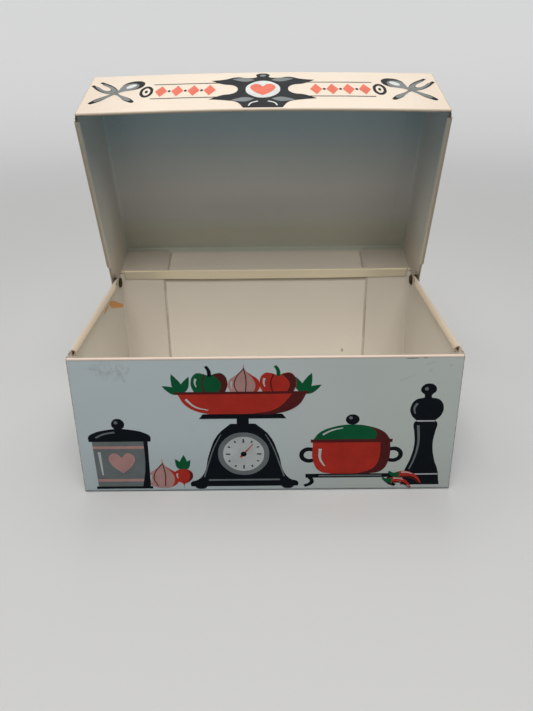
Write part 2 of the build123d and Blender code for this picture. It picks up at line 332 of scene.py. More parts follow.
def box_shell_enamel():
    """Front, floor and back: white outside in painted cool light, cream inside, a yellowed back
    hem, and painted shade and highlight on the front hem.
    """
    finish = Finish("box_shell_enamel", 0.3)
    x, y, z = finish.axes()
    aside = finish.math("ABSOLUTE", x)
    half = sheet / 2
    outside = finish.either(
        finish.math("LESS_THAN", y, box_front + half),
        finish.math("GREATER_THAN", y, box_back - half),
        finish.math("LESS_THAN", z, half))
    front = finish.math("LESS_THAN", y, box_front + half)
    # The front: painted cool light, bluer at the left and greener at the right, and painted shade
    # darkening towards its foot.
    face = finish.blend(finish.rise(x, -25 * mm, 45 * mm), fill_lit_left, fill_lit_right)
    face = finish.shade(face, finish.rise(z, 28 * mm, 0.5 * mm, 1.0, 0.91))
    colour = finish.blend(outside, cream, finish.blend(front, fill_lit_white, face))

    # The front hem: painted shade on its shoulder under a painted warm highlight along its crest.
    front_fold = finish.math("LESS_THAN", y, box_front + front_hem)
    shoulder = finish.rise(z, box_height - 1.2 * mm, box_height - 0.8 * mm)
    colour = finish.blend(finish.both(front_fold, shoulder), colour, shoulder_shade)
    crest = finish.rise(z, box_height - 0.75 * mm, box_height - 0.45 * mm)
    colour = finish.blend(finish.both(front_fold, crest), colour, crest_highlight)

    # The back hem, yellowed, with a deeper-coloured crown and bare ends.
    rear = finish.math("GREATER_THAN", y, 0.0)
    above_edge = above_hem_edge(finish, aside, z)
    turned_in = finish.both(rear, finish.math("LESS_THAN", y, hem_leaf),
                            finish.rise(above_edge, -0.4 * mm, -0.2 * mm))
    crown = finish.rise(z, back_height - 0.6 * mm, back_height - 0.4 * mm)
    hem = finish.shade(yellowed, finish.rise(aside, 44 * mm, 58 * mm, 1.0, 0.80))
    colour = finish.blend(turned_in, colour, hem)
    colour = finish.blend(finish.both(rear, crown), colour, hem_crest)
    raw_edge = finish.rise(aside, shell_edge - 0.35 * mm, shell_edge - 0.1 * mm)
    slant = finish.math("MULTIPLY_ADD", z, hem_lean, hem_end - back_height * hem_lean)
    hem_cut = finish.rise(finish.math("SUBTRACT", aside, slant), -0.45 * mm, -0.2 * mm)
    edge = finish.either(raw_edge, finish.both(turned_in, hem_cut))

    # Marks on the front.
    rubbing = finish.rise(finish.noise(1.6 * mm, 4.0, roughness=0.65), 0.40, 0.70, 0.0, 0.28)
    smudged = finish.both(front, finish.spot(x, z, *smudge, 1.4, 5 * mm), rubbing)
    scratched = finish.math("MULTIPLY", marks(finish, x, z, scratches, 1.8), 0.14)
    scuffed = finish.math("MULTIPLY", marks(finish, x, z, scuffs, 0.5), 0.9)

    # Inside the back: dirt along the flaps' seams, a painted shadow under the hem between the
    # flaps, and darker streaks at the foot.
    inner_face = finish.both(finish.math("GREATER_THAN", y, hem_leaf),
                             finish.math("LESS_THAN", y, box_back - half))
    below = finish.both(inner_face, finish.rise(above_edge, -0.2 * mm, -0.4 * mm))
    streaks = finish.noise(3 * mm, 4.0, finish.stretched(1.0, 1.0, 0.35))
    crack = finish.band(aside, flap_edge - 0.8 * mm, flap_edge - 0.1 * mm, 0.3 * mm)
    crack = finish.both(crack, below, finish.rise(streaks, 0.3, 0.6, 0.25, 0.5))
    # painted shadow under the hem where no flap lies behind it
    hem_shadow = finish.both(finish.rise(above_edge, -2.5 * mm, -1.0 * mm), below,
                      finish.rise(aside, flap_edge, flap_edge - 1 * mm, 0.0, 0.62))
    foot = finish.both(inner_face, finish.rise(z, 8 * mm, 1 * mm),
                       finish.rise(streaks, 0.4, 0.7, 0, 0.3))
    rusted = finish.both(inner_face, finish.spot(x, z, *rust_spot, 0.6))
    return wear_and_shade(finish, colour, edge, [
        (smudged, smudge_grey),
        (finish.both(front, scratched), scratch_grey),
        (finish.both(front, scuffed), bare_steel_and_shade),
        (finish.either(crack, hem_shadow), grime_and_shade),
        (finish.math("MULTIPLY", rusted, 0.55), rust),
        (foot, grime_and_shade)])


def box_side_enamel():
    """Sides of the box: tan rolls with painted shade and highlight, painted light and shade
    inside, ears with bare tops, and an old tape mark.
    """
    finish = Finish("box_side_enamel", 0.3)
    x, y, z = finish.axes()
    aside = finish.math("ABSOLUTE", x)
    outside = finish.math("GREATER_THAN", aside, box_side - sheet / 2)
    # The inner faces: painted light towards the front and painted shade towards the rear.
    lining = finish.shade(cream, finish.rise(y, -25 * mm, 38 * mm, 1.17, 0.90))
    colour = finish.blend(outside, lining, fill_lit_white)
    # The rolled edges: tan darkened as painted shade, a painted highlight along the outer crest,
    # and painted light on the inner side.
    along_roll = finish.band(y, roll_front, roll_rear, 0.1 * mm)
    roll = finish.both(along_roll, finish.rise(z, roll_low, roll_low + 0.15 * mm))
    rolled = finish.blend(finish.rise(aside, box_side - 0.3 * mm, box_side + 0.6 * mm),
                          shaded_biscuit, roll_highlight)
    inner_side_light = finish.rise(aside, box_side - 2.0 * mm, box_side - 1.1 * mm, 1.22, 1.0)
    colour = finish.blend(roll, colour, finish.shade(rolled, inner_side_light))

    # Bare steel: the ears' tops, the roll's ends and the flaps' free edges.
    ears = finish.rise(z, box_height - 0.4 * mm, box_height - 0.1 * mm)
    off_roll = finish.math("SUBTRACT", 1.0, along_roll)
    front_end = finish.band(y, roll_front - 0.02 * mm, roll_front + 0.08 * mm, 0.01 * mm)
    rear_end = finish.band(y, roll_rear - 0.08 * mm, roll_rear + 0.02 * mm, 0.01 * mm)
    roll_end = finish.both(finish.rise(z, box_height - 4.0 * mm, box_height - 3.6 * mm),
                           finish.either(front_end, rear_end))
    free_edge = finish.rise(aside, flap_edge + 0.12 * mm, flap_edge + 0.05 * mm)
    edge = finish.either(finish.both(ears, off_roll), roll_end, free_edge)

    # Old tape inside the left side, dirt at the pivots, and a painted shadow under the back hem.
    left = finish.band(x, -box_side + sheet / 2, -box_side + 2 * mm, 0.05 * mm)
    tape = [finish.spot(y, z, *piece, 0.55, 2.5 * mm, tape_slope) for piece in tape_pieces]
    tape.append(finish.spot(y, z, *tape_tail, 0.8, 2 * mm))
    tape = finish.both(left, finish.either(*tape), finish.rise(y, 2 * mm, 18 * mm, 0.7, 1.0))
    wall = finish.math("GREATER_THAN", aside, box_side - sheet - 0.1 * mm)
    around_pivot = finish.both(wall, finish.spot(y, z, *box_pivot_grime, 0.8, 2 * mm))
    flap = finish.both(finish.math("GREATER_THAN", y, box_back - 1.4 * mm),
                       finish.math("LESS_THAN", aside, box_side - 2 * mm))
    # painted shadow on the flaps just under the back hem
    under_hem_shadow = finish.both(flap, finish.band(above_hem_edge(finish, aside, z),
                                              -0.7 * mm, 0.0, 0.3 * mm))
    return wear_and_shade(finish, colour, edge, [
        (tape, old_tape),
        (finish.math("MULTIPLY", under_hem_shadow, 0.15), grime_and_shade),
        (finish.math("MULTIPLY", around_pivot, 0.4), grime_and_shade)])


def lid_outside(finish, aside, y, z):
    """1 on the outer faces of the lid."""
    part = finish.math("DIVIDE", aside, lid_side)
    bulge = finish.math("MULTIPLY_ADD", finish.math("MULTIPLY", part, part), -lid_bow, lid_bow)
    return finish.either(
        finish.math("LESS_THAN", finish.math("ADD", y, bulge), lid_front + sheet / 2),
        finish.math("GREATER_THAN", z, lid_top - sheet / 2),
        finish.math("GREATER_THAN", y, lid_rear - sheet / 2),
        finish.math("GREATER_THAN", aside, lid_side - sheet / 2))


def lid_top_light_and_shade(finish, aside, y):
    """The lining of the lid's top, painted with light and shade: dark with a painted blue
    reflection at the front, lit in the middle, darker and yellower at the rear, with painted shade
    towards the sides.
    """
    lining = finish.blend(finish.rise(y, -35 * mm, 15 * mm), lining_front_shade, middle_lining)
    lining = finish.blend(finish.rise(y, 22 * mm, 36 * mm), lining, rear_lining)
    return finish.shade(lining, finish.rise(aside, 32 * mm, 72 * mm, 1.0, 0.89))


def lid_shell_enamel():
    """The lid's strip: white outside in painted warm light, with painted shade in a tan tint along
    its front rim's fold.
    """
    finish = Finish("lid_shell_enamel", 0.3)
    shut = finish.turned_shut()
    x, y, z = finish.axes(shut)
    aside = finish.math("ABSOLUTE", x)
    lining = lid_top_light_and_shade(finish, aside, y)
    on_skirt = finish.both(finish.math("GREATER_THAN", y, lid_rear - 1.3 * mm),
                           finish.rise(z, lid_top - 2 * mm, lid_top - 6 * mm))
    # painted light towards the top of the rear skirt's lining
    upper_light = finish.rise(z, lid_top - 17 * mm, lid_top - 5 * mm, 1.0, 1.12)
    lining = finish.blend(on_skirt, lining, finish.shade(skirt_lining, upper_light))
    colour = finish.blend(lid_outside(finish, aside, y, z), lining, key_lit_white)
    # painted shade, in a tan tint, along the fold of the front rim
    rim = finish.both(finish.rise(z, lid_rim + 0.7 * mm, lid_rim + 0.4 * mm),
                      finish.math("LESS_THAN", y, 0.0))
    colour = finish.blend(rim, colour, fold_shade_tan)
    side_edge = finish.rise(aside, lid_side - 0.6 * mm, lid_side - 0.35 * mm)
    crack = finish.band(aside, lid_flap_edge - 0.6 * mm, lid_flap_edge - 0.1 * mm, 0.3 * mm)
    crack = finish.both(crack, on_skirt, finish.math("LESS_THAN", y, lid_rear - sheet / 2))
    # painted shade, in the colour of bare steel, in the gap at the hem's ends near the front
    # corners
    front_corner_shade = finish.both(
        finish.band(y, lid_front + 0.8 * mm, lid_front + 4 * mm, 0.15 * mm),
        finish.rise(aside, lid_side - 7.0 * mm, lid_side - 4.0 * mm),
        finish.rise(z, lid_rim + 1.6 * mm, lid_rim + 1.1 * mm))
    return wear_and_shade(finish, colour, side_edge, [
        (finish.math("MULTIPLY", crack, 0.4), grime_and_shade),
        (finish.math("MULTIPLY", front_corner_shade, 0.9), bare_steel_and_shade)])


def lid_side_enamel():
    """The lid's sides: painted light and shade on the lining, tan rims with painted shade, painted
    shade in the front corners, and dirt at the pivots.
    """
    finish = Finish("lid_side_enamel", 0.3)
    shut = finish.turned_shut()
    x, y, z = finish.axes(shut)
    aside = finish.math("ABSOLUTE", x)
    outside = finish.math("GREATER_THAN", aside, lid_side - sheet / 2)
    # The sides' lining: painted shade with a blue reflection at the front, warmer towards the
    # rear, painted shade towards the top and on the rear flap, painted light towards the rear, and
    # the top's lining on the flange.
    lining = finish.blend(finish.rise(y, lid_front, 15 * mm), side_front_shade, side_lining)
    lining = finish.blend(finish.rise(y, 12 * mm, 40 * mm), lining, skirt_lining)
    lining = finish.shade(lining, finish.rise(z, lid_rim + 6 * mm, lid_top - 6 * mm, 1.03, 0.84))
    lining = finish.shade(lining, finish.rise(y, 20 * mm, 40 * mm, 1.0, 1.14))
    flange = finish.rise(z, lid_top - 5 * mm, lid_top - 1.5 * mm)
    lining = finish.blend(flange, lining, lid_top_light_and_shade(finish, aside, y))
    flap = finish.rise(y, lid_rear - 1.8 * mm, lid_rear - 1.2 * mm, 1.0, 0.82)
    lining = finish.shade(lining, flap)
    # outside: the white in painted warm light
    colour = finish.blend(outside, lining, key_lit_white)

    # The rolled rim: tan with painted shade, deeper towards its outer face, which is brown.
    near_rim = finish.rise(z, lid_rim + 2.4 * mm, lid_rim + 1.8 * mm)
    tan_and_shade = finish.rise(aside, lid_side - 1.7 * mm, lid_side + 0.1 * mm, 0.2, 1.0)
    colour = finish.blend(finish.both(near_rim, tan_and_shade), colour, rim_tan_shade)
    rim_line = finish.rise(aside, lid_side - 0.2 * mm, lid_side + 0.3 * mm)
    colour = finish.blend(finish.both(near_rim, rim_line), colour, rim_brown)
    free_edge = finish.rise(aside, lid_flap_edge + 0.12 * mm, lid_flap_edge + 0.05 * mm)
    around_pivot = finish.both(finish.spot(y, z, *lid_pivot_grime, 1.0, 2 * mm),
                               finish.math("GREATER_THAN", aside, lid_side - 2 * mm))
    # painted shade, in the colour of bare steel, in the gap at the front corner near the rim
    front_corner_shade = finish.both(finish.rise(y, lid_front + 3.6 * mm, lid_front + 3.1 * mm),
                               finish.rise(z, lid_rim + 2.0 * mm, lid_rim + 1.2 * mm),
                               finish.rise(aside, lid_side - 3.0 * mm, lid_side - 2.0 * mm))
    return wear_and_shade(finish, colour, free_edge, [
        (finish.math("MULTIPLY", around_pivot, 0.45), grime_and_shade),
        (finish.math("MULTIPLY", front_corner_shade, 0.8), bare_steel_and_shade)])


def rusty_steel():
    """Pivots: plating gone, brown rust outside and near black inside the box."""
    finish = Finish("rusty_steel", 0.7, specular=0.3)
    x = finish.axes()[0]
    bloom = finish.noise(1.1 * mm, 4.0, roughness=0.7)
    colour = finish.blend(finish.rise(bloom, 0.38, 0.62), dark_rust, bare_steel_and_shade)
    glow = finish.rise(finish.noise(0.5 * mm, 2.0), 0.6, 0.75, 0.0, 0.5)
    colour = finish.blend(glow, colour, rust)
    clench = finish.math("LESS_THAN", finish.math("ABSOLUTE", x), box_side - sheet / 2)
    finish.colour(finish.blend(finish.math("MULTIPLY", clench, 0.85), colour, pivot_black))
    finish.rough(finish.rise(bloom, 0.3, 0.7, 0.55, 0.85))
    finish.bump(bloom, 0.12 * mm)
    return finish.material


inks = {                        # colour, and the share that wear has rubbed off
    "black": ((0.004, 0.007, 0.011), 0.4),
    "grey": ((0.235, 0.262, 0.268), 0.5),
    "red": ((0.68, 0.050, 0.032), 0.5),
    "coral": ((0.88, 0.20, 0.13), 0.5),
    "green": ((0.008, 0.14, 0.052), 0.5),
    "pink": ((0.72, 0.40, 0.37), 0.5),
    "maroon": ((0.13, 0.022, 0.022), 0.4),
    "white": ((0.79, 0.83, 0.82), 0.0),
}


def ink(name):
    """Printing ink: a little uneven, rubbed thin in places."""
    if "ink_" + name in bpy.data.materials:
        return bpy.data.materials["ink_" + name]
    colour, worn_share = inks[name]
    finish = Finish("ink_" + name, 0.4, specular=0.07)
    wash = finish.noise(6 * mm, 3.0)
    result = finish.shade(colour, finish.math("MULTIPLY_ADD", wash, 0.5, 0.72))
    rubbed = finish.rise(finish.noise(0.6 * mm, 3.0, roughness=0.75), 0.66, 0.78)
    patches = finish.rise(finish.noise(14 * mm, 2.0), 0.45, 0.65)
    share = finish.math("MULTIPLY", finish.math("MULTIPLY", rubbed, patches), worn_share)
    finish.colour(finish.blend(share, result, fill_lit_white))
    finish.rough(finish.math("MULTIPLY_ADD", wash, 0.2, 0.3))
    finish.bump(finish.noise(peel_size, 1.0), 0.004 * mm)
    return finish.material


def finish_nodes():
    """Give each piece of the box and the lid its finish."""
    finishes = {
        "body_shell": box_shell_enamel(),
        "body_side": box_side_enamel(),
        "lid_shell": lid_shell_enamel(),
        "lid_side": lid_side_enamel(),
        "pivot": rusty_steel(),
    }
    for name, node in frame["nodes"].items():
        for start, material in finishes.items():
            if name.startswith(start):
                for slot in node.material_slots:
                    slot.material = material


# ---------------------------------------------------------------- printed shapes
corner = True                   # a point where an outline turns sharply


def symmetric(*right_half):
    """Close an outline from its right half, listed from the top to the bottom."""
    left_half = [(-across, *rest) for across, *rest in reversed(right_half) if across]
    return [*right_half, *left_half]


def oval(across, up, half_width, half_height=None):
    """Outline of a disc or an oval."""
    half_height = half_height or half_width
    steps = 8
    turns = [2 * pi * step / steps for step in range(steps)]
    return [(across + half_width * cos(turn), up + half_height * sin(turn)) for turn in turns]


def bar(left, low, right, high):
    """Outline of a rectangle."""
    return [(left, low, corner), (right, low, corner), (right, high, corner), (left, high, corner)]


def stroke(line, width, tip=None):
    """Outline of a pen stroke along a line of points, which may narrow to its tip."""
    tip = width if tip is None else tip
    right, left = [], []
    last = len(line) - 1
    for index, (across, up) in enumerate(line):
        before = line[max(index - 1, 0)]
        after = line[min(index + 1, last)]
        run = hypot(after[0] - before[0], after[1] - before[1])
        half = (width + (tip - width) * index / last) / 2
        out = ((after[1] - before[1]) / run * half, -(after[0] - before[0]) / run * half)
        end = (corner,) if index in (0, last) else ()
        right.append((across + out[0], up + out[1], *end))
        left.append((across - out[0], up - out[1], *end))
    return right + left[::-1]


def leaf(across, up, length, turn, width=0.36):
    """Outline of a pointed leaf from its stalk, turned in degrees from upright."""
    half = length * width / 2
    points = [(0, 0, corner), (half, 0.35 * length), (0.6 * half, 0.75 * length),
              (0, length, corner), (-0.6 * half, 0.75 * length), (-half, 0.35 * length)]
    return placed(points, across, up, turn=turn)


def placed(outline, across=0.0, up=0.0, size=1.0, turn=0.0, flip=1):
    """The same outline turned, resized and moved."""
    c, s = cos(radians(turn)), sin(radians(turn))
    result = []
    for x, y, *rest in outline:
        x *= flip * size
        y *= size
        result.append((across + x * c - y * s, up + x * s + y * c, *rest))
    return result


class Press:
    """Prints flat shapes on one face of the tin. Higher layers lie over lower ones."""

    def __init__(self):
        self.shapes = {}
        self.prints = 0
        self.at = (0.0, 0.0)
        self.size = 1.0
        self.flip = 1
        self.lift = 0

    def move(self, across, up, size=1.0, flip=1, lift=0):
        """Choose where the next shapes go, how large and how many layers higher."""
        self.at = (across, up)
        self.size = size
        self.flip = flip
        self.lift = lift

    def ink(self, name, layer, *outlines):
        """Print one shape in an ink. Outlines after the first are holes in it."""
        bpy.ops.curve.primitive_bezier_curve_add()
        shape = bpy.context.object
        data = shape.data
        data.dimensions = "2D"
        data.fill_mode = "BOTH"
        data.resolution_u = 5
        data.splines.clear()
        for outline in outlines:
            points = placed(outline, *self.at, self.size, flip=self.flip)
            spline = data.splines.new("BEZIER")
            spline.bezier_points.add(len(points) - 1)
            spline.use_cyclic_u = True
            for knot, (across, up, *sharp) in zip(spline.bezier_points, points):
                knot.co = (across * mm, up * mm, 0)
                handle = "VECTOR" if sharp else "AUTO"
                knot.handle_left_type = handle
                knot.handle_right_type = handle
        bpy.ops.object.convert(target="MESH")
        # Neighbours in one layer lie a little apart, so that no two share a face.
        self.prints += 1
        height = layer + self.lift + self.prints % 4 / 5
        self.shapes.setdefault(name, []).append((height, shape))


def select_only(*objects):
    """Select these objects, with the first one active."""
    bpy.ops.object.select_all(action="DESELECT")
    for item in objects:
        item.select_set(True)
    bpy.context.view_layer.objects.active = objects[0]


ink_thickness = 0.006 * mm
first_layer = 0.016 * mm        # from the enamel to the middle of the lowest ink
layer_step = 0.008 * mm
lid_room = 0.012 * mm           # more room under the inks on the lid's curve
lid_strips = 24                 # strips that the lid's prints are cut into, to bend


def stand_up(objects, place, turn):
    """Turn flat prints upright about the x axis and move them to a place."""
    select_only(*objects)
    bpy.ops.transform.rotate(value=-radians(turn), orient_axis="X", orient_type="GLOBAL",
                             center_override=(0, 0, 0))
    bpy.ops.transform.translate(value=place)
    bpy.ops.object.transform_apply(location=True, rotation=True, scale=True)


def give_thickness(piece):
    """Turn a flat print into a film of ink with closed faces."""
    select_only(piece)
    solid = piece.modifiers.new("film", "SOLIDIFY")
    solid.thickness = ink_thickness
    solid.offset = 0
    bpy.ops.object.modifier_apply(modifier="film")
    bpy.ops.object.mode_set(mode="EDIT")
    bpy.ops.mesh.select_all(action="SELECT")
    bpy.ops.mesh.normals_make_consistent(inside=False)
    bpy.ops.object.mode_set(mode="OBJECT")


def join_ink(name, ink_name, pieces, body):
    """Join the shapes of one ink into one piece of the box or the lid."""
    select_only(*pieces)
    if len(pieces) > 1:
        bpy.ops.object.join()
    piece = bpy.context.object
    piece.name = name
    piece.data.materials.clear()
    piece.data.materials.append(ink(ink_name))
    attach(piece, body)


def finish_front(press):
    """Set the flat prints on the front of the box."""
    for ink_name, shapes in press.shapes.items():
        for layer, shape in shapes:
            proud = first_layer + layer * layer_step
            stand_up([shape], (0, box_front - proud, 0), 90)
            give_thickness(shape)
        join_ink("front_print_" + ink_name, ink_name, [shape for layer, shape in shapes],
                 "box")


def finish_lid(press):
    """Lay the prints on the lid's bowed front, in strips that follow its curve."""
    rim_point = Vector((0, lid_front - 2 * lid_bow, lid_rim))
    turn = Matrix.Rotation(-radians(lid_open), 4, "X")
    opened = Matrix.Translation(hinge_place) @ turn @ Matrix.Translation(-hinge_place)
    place = opened @ rim_point
    for ink_name, shapes in press.shapes.items():
        for layer, shape in shapes:
            stand_up([shape], place, 90 - lid_open)
            select_only(shape)
            bpy.ops.object.mode_set(mode="EDIT")
            for strip in range(1, lid_strips):
                bpy.ops.mesh.select_all(action="SELECT")
                at = -lid_side + 2 * lid_side * strip / lid_strips
                bpy.ops.mesh.bisect(plane_co=(at, 0, 0), plane_no=(1, 0, 0))
            bpy.ops.object.mode_set(mode="OBJECT")
            wrap = shape.modifiers.new("wrap", "SHRINKWRAP")
            wrap.target = frame["nodes"]["lid_shell"]
            wrap.wrap_method = "NEAREST_SURFACEPOINT"
            wrap.wrap_mode = "ABOVE_SURFACE"
            wrap.offset = first_layer + lid_room + layer * layer_step
            bpy.ops.object.modifier_apply(modifier="wrap")
            give_thickness(shape)
        join_ink("lid_print_" + ink_name, ink_name, [shape for layer, shape in shapes],
                 "lid")


# ---------------------------------------------------------------- motifs on the front
def canister(press):
    """Canister with a knobbed lid, two pink bands and a pink heart."""
    press.ink("grey", 1, [(-10, 0.8, corner), (10, 0.8, corner), (10.4, 21.6, corner),
                          (-10.4, 21.6, corner)])
    press.ink("pink", 2, bar(-10.1, 3.4, 10.1, 4.6))
    press.ink("pink", 2, bar(-10.3, 18.4, 10.3, 19.6))
    press.ink("pink", 2, symmetric((0, 14.4, corner), (2.4, 16.4), (4.8, 14.8), (4.3, 11.6),
                                   (0, 7.2, corner)))
    press.ink("black", 3, [(7.0, 0.8, corner), (10, 0.8, corner), (10.4, 21.6, corner),
                           (8.8, 21.6, corner), (8.6, 10)])
    press.ink("white", 3, stroke([(-8.2, 17.0), (-8.0, 12), (-7.8, 6.4)], 1.1, 0.5))
    press.ink("black", 2, bar(-10.8, 0, 10.8, 1.1))
    press.ink("black", 2, symmetric((0, 27.2), (4.4, 26.8), (9.4, 25.4), (11.5, 23.8),
                                    (11.5, 21.6, corner)))
    press.ink("black", 2, oval(0, 29.2, 2.4))
    press.ink("grey", 3, stroke([(-8.8, 23.4), (-5.6, 25), (-1.5, 25.7)], 0.7))
    press.ink("grey", 3, oval(-0.7, 29.9, 0.7))


def onion(press):
    """Onion with its skin's veins."""
    press.ink("pink", 1, symmetric((0, 15, corner), (0.7, 11.8), (3, 9.6), (6.1, 6.8), (6.3, 3.2),
                                   (3.6, 0.6), (0, 0)))
    press.ink("red", 2, [(0.8, 11.2, corner), (3, 9.6), (6.1, 6.8), (6.3, 3.2), (3.2, 0.5, corner),
                         (4.6, 3.6), (4.2, 6.8)])
    press.ink("maroon", 3, stroke([(0, 12.6), (0.9, 7.6), (0.6, 1.0)], 0.45))
    press.ink("maroon", 3, stroke([(-0.3, 12.0), (-3.1, 8.2), (-3.9, 4.6), (-2.4, 1.1)], 0.45))
    press.ink("white", 3, stroke([(-4.9, 6.6), (-5.2, 4.8), (-4.8, 3.2)], 0.8, 0.4))


def radish(press):
    """Radish under three leaves."""
    for turn, length in ((28, 8.5), (-30, 8), (-4, 10)):
        press.ink("green", 1, leaf(0, 9.2, length, turn, 0.42))
    press.ink("red", 2, symmetric((0, 10.2), (3.6, 9.2), (5.0, 6), (3.4, 2.6), (0.5, 0.6),
                                  (0, -2.4, corner)))
    press.ink("maroon", 3, [(2.2, 9.7, corner), (4.3, 8), (4.9, 5.6), (3.2, 2.4),
                            (1.4, 1.2, corner), (3.2, 4.2), (3.4, 7)])
    press.ink("white", 3, stroke([(-3.2, 7.4), (-3.5, 5.8), (-2.9, 4.3)], 0.9, 0.4))


def bell_pepper(press, colour):
    """Bell pepper with a stalk."""
    press.ink(colour, 1, [(-5.2, 0, corner), (-6.6, 4.4), (-4.8, 8.4), (-2.2, 8.4), (0, 7.6),
                          (2.2, 8.4), (4.8, 8.4), (6.6, 4.4), (5.2, 0, corner)])
    press.ink("maroon", 2, stroke([(-1.6, 8.0), (-2.6, 4.6), (-1.8, 0.4)], 0.5))
    press.ink("maroon", 2, [(1.4, 8.1, corner), (4.8, 8.2), (6.5, 4.4), (5.2, 0, corner),
                            (2.8, 0, corner), (4.2, 4.2)])
    stalk = "black" if colour == "green" else "green"
    press.ink(stalk, 2, stroke([(0.2, 7.2), (0, 9.6), (-1.0, 11.4)], 1.5, 1.1))
    press.ink("white", 2, stroke([(-4.8, 6.4), (-5.1, 4.6), (-4.7, 3.0)], 0.9, 0.4))


def kitchen_scale(press):
    """Kitchen scale: a black body, a round dial and a red pan."""
    press.ink("black", 1, [(-20.5, 0.8, corner), (-20.5, 2.6), (-17.6, 4.0), (-15.2, 7),
                           (-13.2, 15), (-9.6, 24), (-4.6, 29, corner), (4.6, 29, corner),
                           (9.6, 24), (13.2, 15), (15.2, 7), (17.6, 4.0), (20.5, 2.6),
                           (20.5, 0.8, corner)])
    for side in (-1, 1):
        press.ink("black", 1, oval(side * 16.6, 0.9, 2.3, 1.3))
        press.ink("grey", 2, stroke([(side * 15.2, 5.2), (side * 13.2, 12), (side * 10.6, 19.6),
                                     (side * 8.2, 24.4)], 0.6, 0.3))
    dial = 15.6
    press.ink("grey", 2, oval(0, dial, 9.6))
    press.ink("white", 3, oval(0, dial, 7.7))
    ticks = 12
    for tick in range(ticks):
        turn = 2 * pi * tick / ticks
        inner, outer = (5.0, 6.7) if tick % 3 == 0 else (5.8, 6.7)
        press.ink("black", 4, stroke([(inner * sin(turn), dial + inner * cos(turn)),
                                      (outer * sin(turn), dial + outer * cos(turn))], 0.55))
    press.ink("red", 5, stroke([(-1.2, 14.2), (0.4, 16.1), (3.6, 20.0)], 1.0, 0.3))
    press.ink("black", 6, oval(0, dial, 1.1))
    press.ink("grey", 2, bar(-13.6, 3.4, 13.6, 4.1))
    press.ink("black", 1, bar(-2.2, 29, 2.2, 31.4))
    press.ink("black", 1, [(-14.5, 33.2, corner), (-16, 31.2, corner), (16, 31.2, corner),
                           (14.5, 33.2, corner)])
    press.ink("red", 1, [(-23.4, 42, corner), (-20.2, 36.6), (-12, 33.2), (12, 33.2), (20.2, 36.6),
                         (23.4, 42, corner)])
    press.ink("maroon", 2, [(23.4, 42, corner), (20.2, 36.6), (12, 33.2), (3, 33.2, corner),
                            (12.5, 35.4), (18.4, 42, corner)])
    press.ink("maroon", 3, bar(-24.2, 41.6, 24.2, 42.6))
    press.ink("white", 2, stroke([(-20.4, 39.6), (-17.2, 36.4), (-12.4, 34.9)], 0.9, 0.4))


def casserole(press):
    """Red casserole with a green lid, on a low stand."""
    press.ink("black", 1, bar(-17, 4.4, 17, 6.2))
    for side in (-1, 1):
        press.ink("black", 1, stroke([(side * 15.6, 5), (side * 14.6, 2.4), (side * 17.4, 0.6)],
                                     1.9, 1.3))
        press.ink("black", 1, stroke([(side * 13.6, 17.2), (side * 17.2, 17.2),
                                      (side * 18.6, 14.6), (side * 16.8, 12.4),
                                      (side * 13.4, 12.6)], 1.7))
    press.ink("grey", 2, bar(-12, 5.0, 12, 5.6))
    press.ink("red", 2, [(-14.4, 20.6, corner), (-14.2, 12), (-11.6, 7.4), (-7, 6.2, corner),
                         (7, 6.2, corner), (11.6, 7.4), (14.2, 12), (14.4, 20.6, corner)])
    press.ink("maroon", 3, [(14.4, 20.6, corner), (14.2, 12), (11.6, 7.4), (7, 6.2, corner),
                            (2.6, 6.2, corner), (8.8, 9), (10.6, 13), (10.8, 20.6, corner)])
    press.ink("white", 3, stroke([(-11.6, 17.6), (-11.6, 13.2), (-9.8, 9.8)], 1.2, 0.5))
    press.ink("maroon", 3, bar(-15.2, 20.4, 15.2, 21.8))
    press.ink("green", 2, symmetric((0, 28.2), (6.4, 27.4), (12, 24.8), (14.2, 21.8, corner)))
    press.ink("maroon", 3, [(6.4, 27.3, corner), (12, 24.7), (14.2, 21.8, corner),
                            (8.6, 21.8, corner), (9.2, 24.4)])
    press.ink("white", 3, stroke([(-10.8, 23.9), (-7.4, 25.8), (-3.4, 26.8)], 0.8, 0.4))
    press.ink("black", 2, oval(0, 30.4, 2.5, 2.2))
    press.ink("grey", 3, oval(-0.7, 31.1, 0.7, 0.6))


def pepper_mill(press):
    """Turned pepper mill with a knob."""
    press.ink("black", 1, symmetric((0, 45.2), (2.2, 44.3), (2.8, 42.3), (1.3, 40.4),
                                    (1.3, 39.4, corner), (4.4, 38.4), (6.0, 35.4), (5.4, 32),
                                    (3.3, 29.6, corner), (4.2, 28.8), (3.9, 25), (3.4, 20),
                                    (4.4, 13), (6.4, 7), (7.0, 3), (7.4, 0.8, corner)))
    press.ink("white", 2, bar(-3.3, 29.2, 3.3, 29.75))
    press.ink("white", 2, bar(-6.5, 5.4, 6.5, 5.95))
    press.ink("grey", 2, stroke([(-3.6, 37.0), (-4.6, 35), (-4.1, 32.6)], 1.0, 0.5))
    press.ink("grey", 2, stroke([(-2.6, 27.6), (-2.0, 20), (-2.9, 13.4), (-4.6, 8)], 1.0, 0.5))
    press.ink("grey", 2, oval(-0.8, 43, 0.7))


def chilli(press):
    """Chilli lying on its side."""
    press.ink("red", 1, stroke([(0, 0), (2.4, 0.9), (5.6, 0.6), (8.6, -1.4), (10.4, -4.2)],
                               3.5, 0.4))
    press.ink("maroon", 2, stroke([(1.4, -0.7), (4.8, -0.8), (7.8, -2.4), (9.8, -4.4)], 0.9, 0.3))
    press.ink("white", 2, stroke([(1.8, 1.6), (4.4, 1.5), (6.4, 0.8)], 0.6, 0.3))
    press.ink("green", 2, stroke([(-3.6, 2.0), (-1.6, 0.4), (1.0, 0.4)], 0.9, 3.2))


